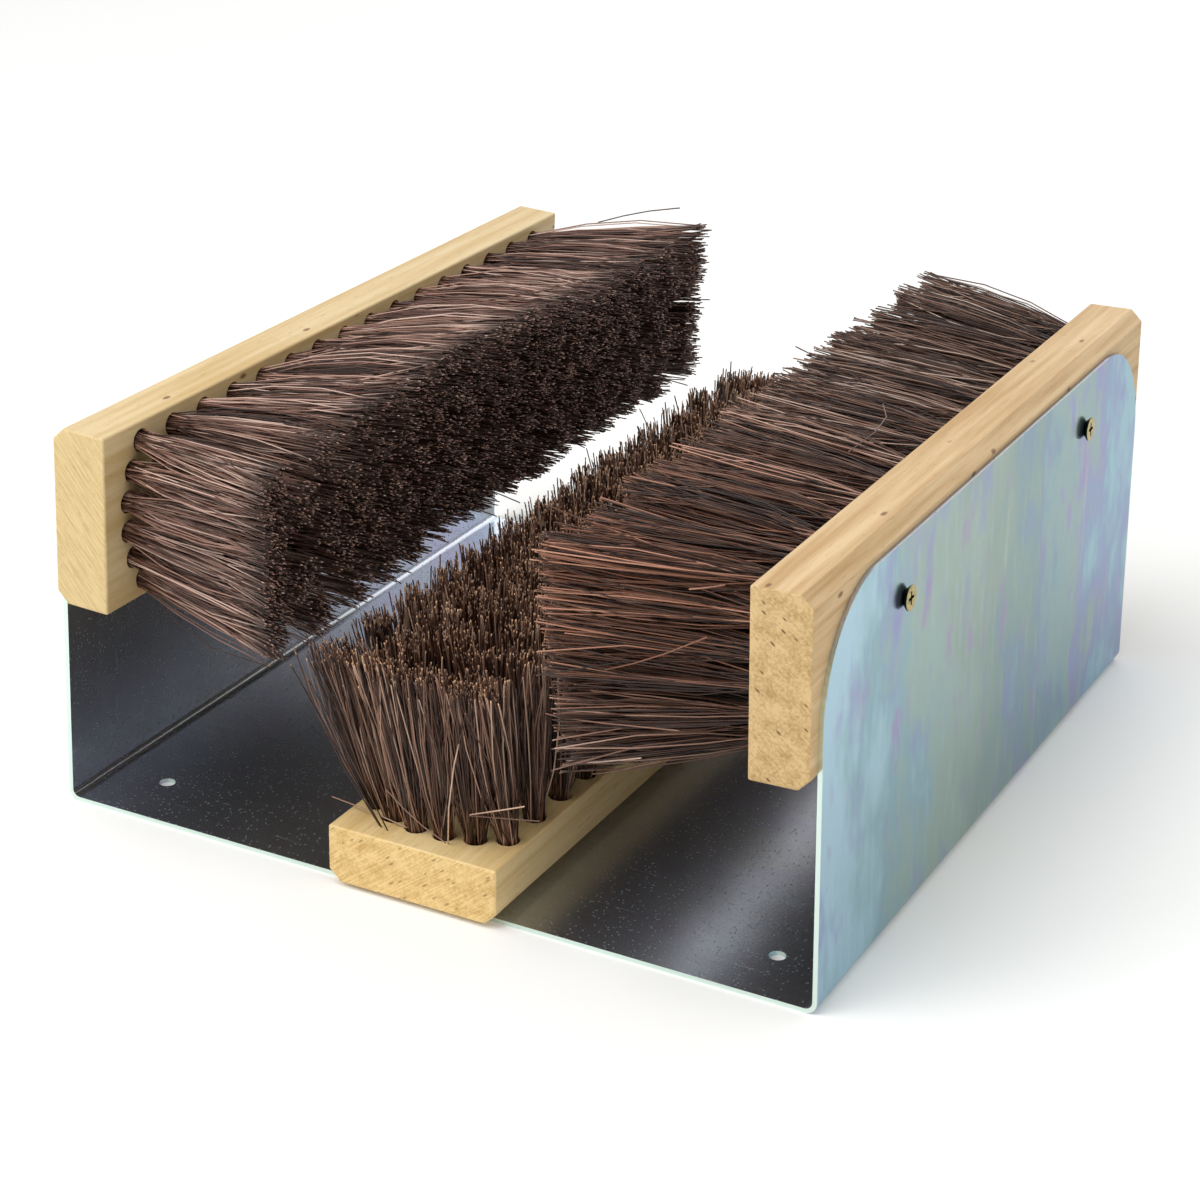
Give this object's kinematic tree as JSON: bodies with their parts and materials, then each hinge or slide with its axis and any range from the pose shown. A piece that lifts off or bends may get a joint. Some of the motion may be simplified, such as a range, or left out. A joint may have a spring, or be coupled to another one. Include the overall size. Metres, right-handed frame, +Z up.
{
  "type": "boot cleaner",
  "caption": "Boot cleaner: an open-ended U-shaped tray of bent zinc-plated steel with a wooden broom head screwed to each wall and one to the floor, bristles facing the channel between them.",
  "frame": {"origin": "middle of the tray's underside, on the surface that it stands on", "axes": "+X across the tray towards its right wall, +Y along the channel that a boot is drawn through, +Z up"},
  "size_m": [0.2698, 0.3008, 0.1446],
  "materials": {
    "zinc_plated_steel": "glossy blue-passivated zinc with faint rainbow tints",
    "beech": "planed and unvarnished",
    "bristle_fibre": "stiff dark brown fibres with a slight gloss",
    "anchor_wire": "bright flat wire",
    "yellow_zinc_screw": "yellow-passivated zinc"
  },
  "bodies": {
    "root": {"tray": "zinc_plated_steel", "left_brush_block": "beech", "left_brush_bottom_outer_row": "bristle_fibre", "left_brush_bottom_inner_row": "bristle_fibre", "left_brush_middle_row": "bristle_fibre", "left_brush_top_inner_row": "bristle_fibre", "left_brush_top_outer_row": "bristle_fibre", "left_brush_front_end_tufts": "bristle_fibre", "left_brush_back_end_tufts": "bristle_fibre", "left_brush_wire_anchors": "anchor_wire", "left_brush_screws": "yellow_zinc_screw", "centre_brush_block": "beech", "centre_brush_right_outer_row": "bristle_fibre", "centre_brush_right_inner_row": "bristle_fibre", "centre_brush_middle_row": "bristle_fibre", "centre_brush_left_inner_row": "bristle_fibre", "centre_brush_left_outer_row": "bristle_fibre", "centre_brush_front_end_tufts": "bristle_fibre", "centre_brush_back_end_tufts": "bristle_fibre", "centre_brush_wire_anchors": "anchor_wire", "centre_brush_screws": "yellow_zinc_screw", "right_brush_block": "beech", "right_brush_top_outer_row": "bristle_fibre", "right_brush_top_inner_row": "bristle_fibre", "right_brush_middle_row": "bristle_fibre", "right_brush_bottom_inner_row": "bristle_fibre", "right_brush_bottom_outer_row": "bristle_fibre", "right_brush_front_end_tufts": "bristle_fibre", "right_brush_back_end_tufts": "bristle_fibre", "right_brush_wire_anchors": "anchor_wire", "right_brush_screws": "yellow_zinc_screw"}
  },
  "joints": []
}
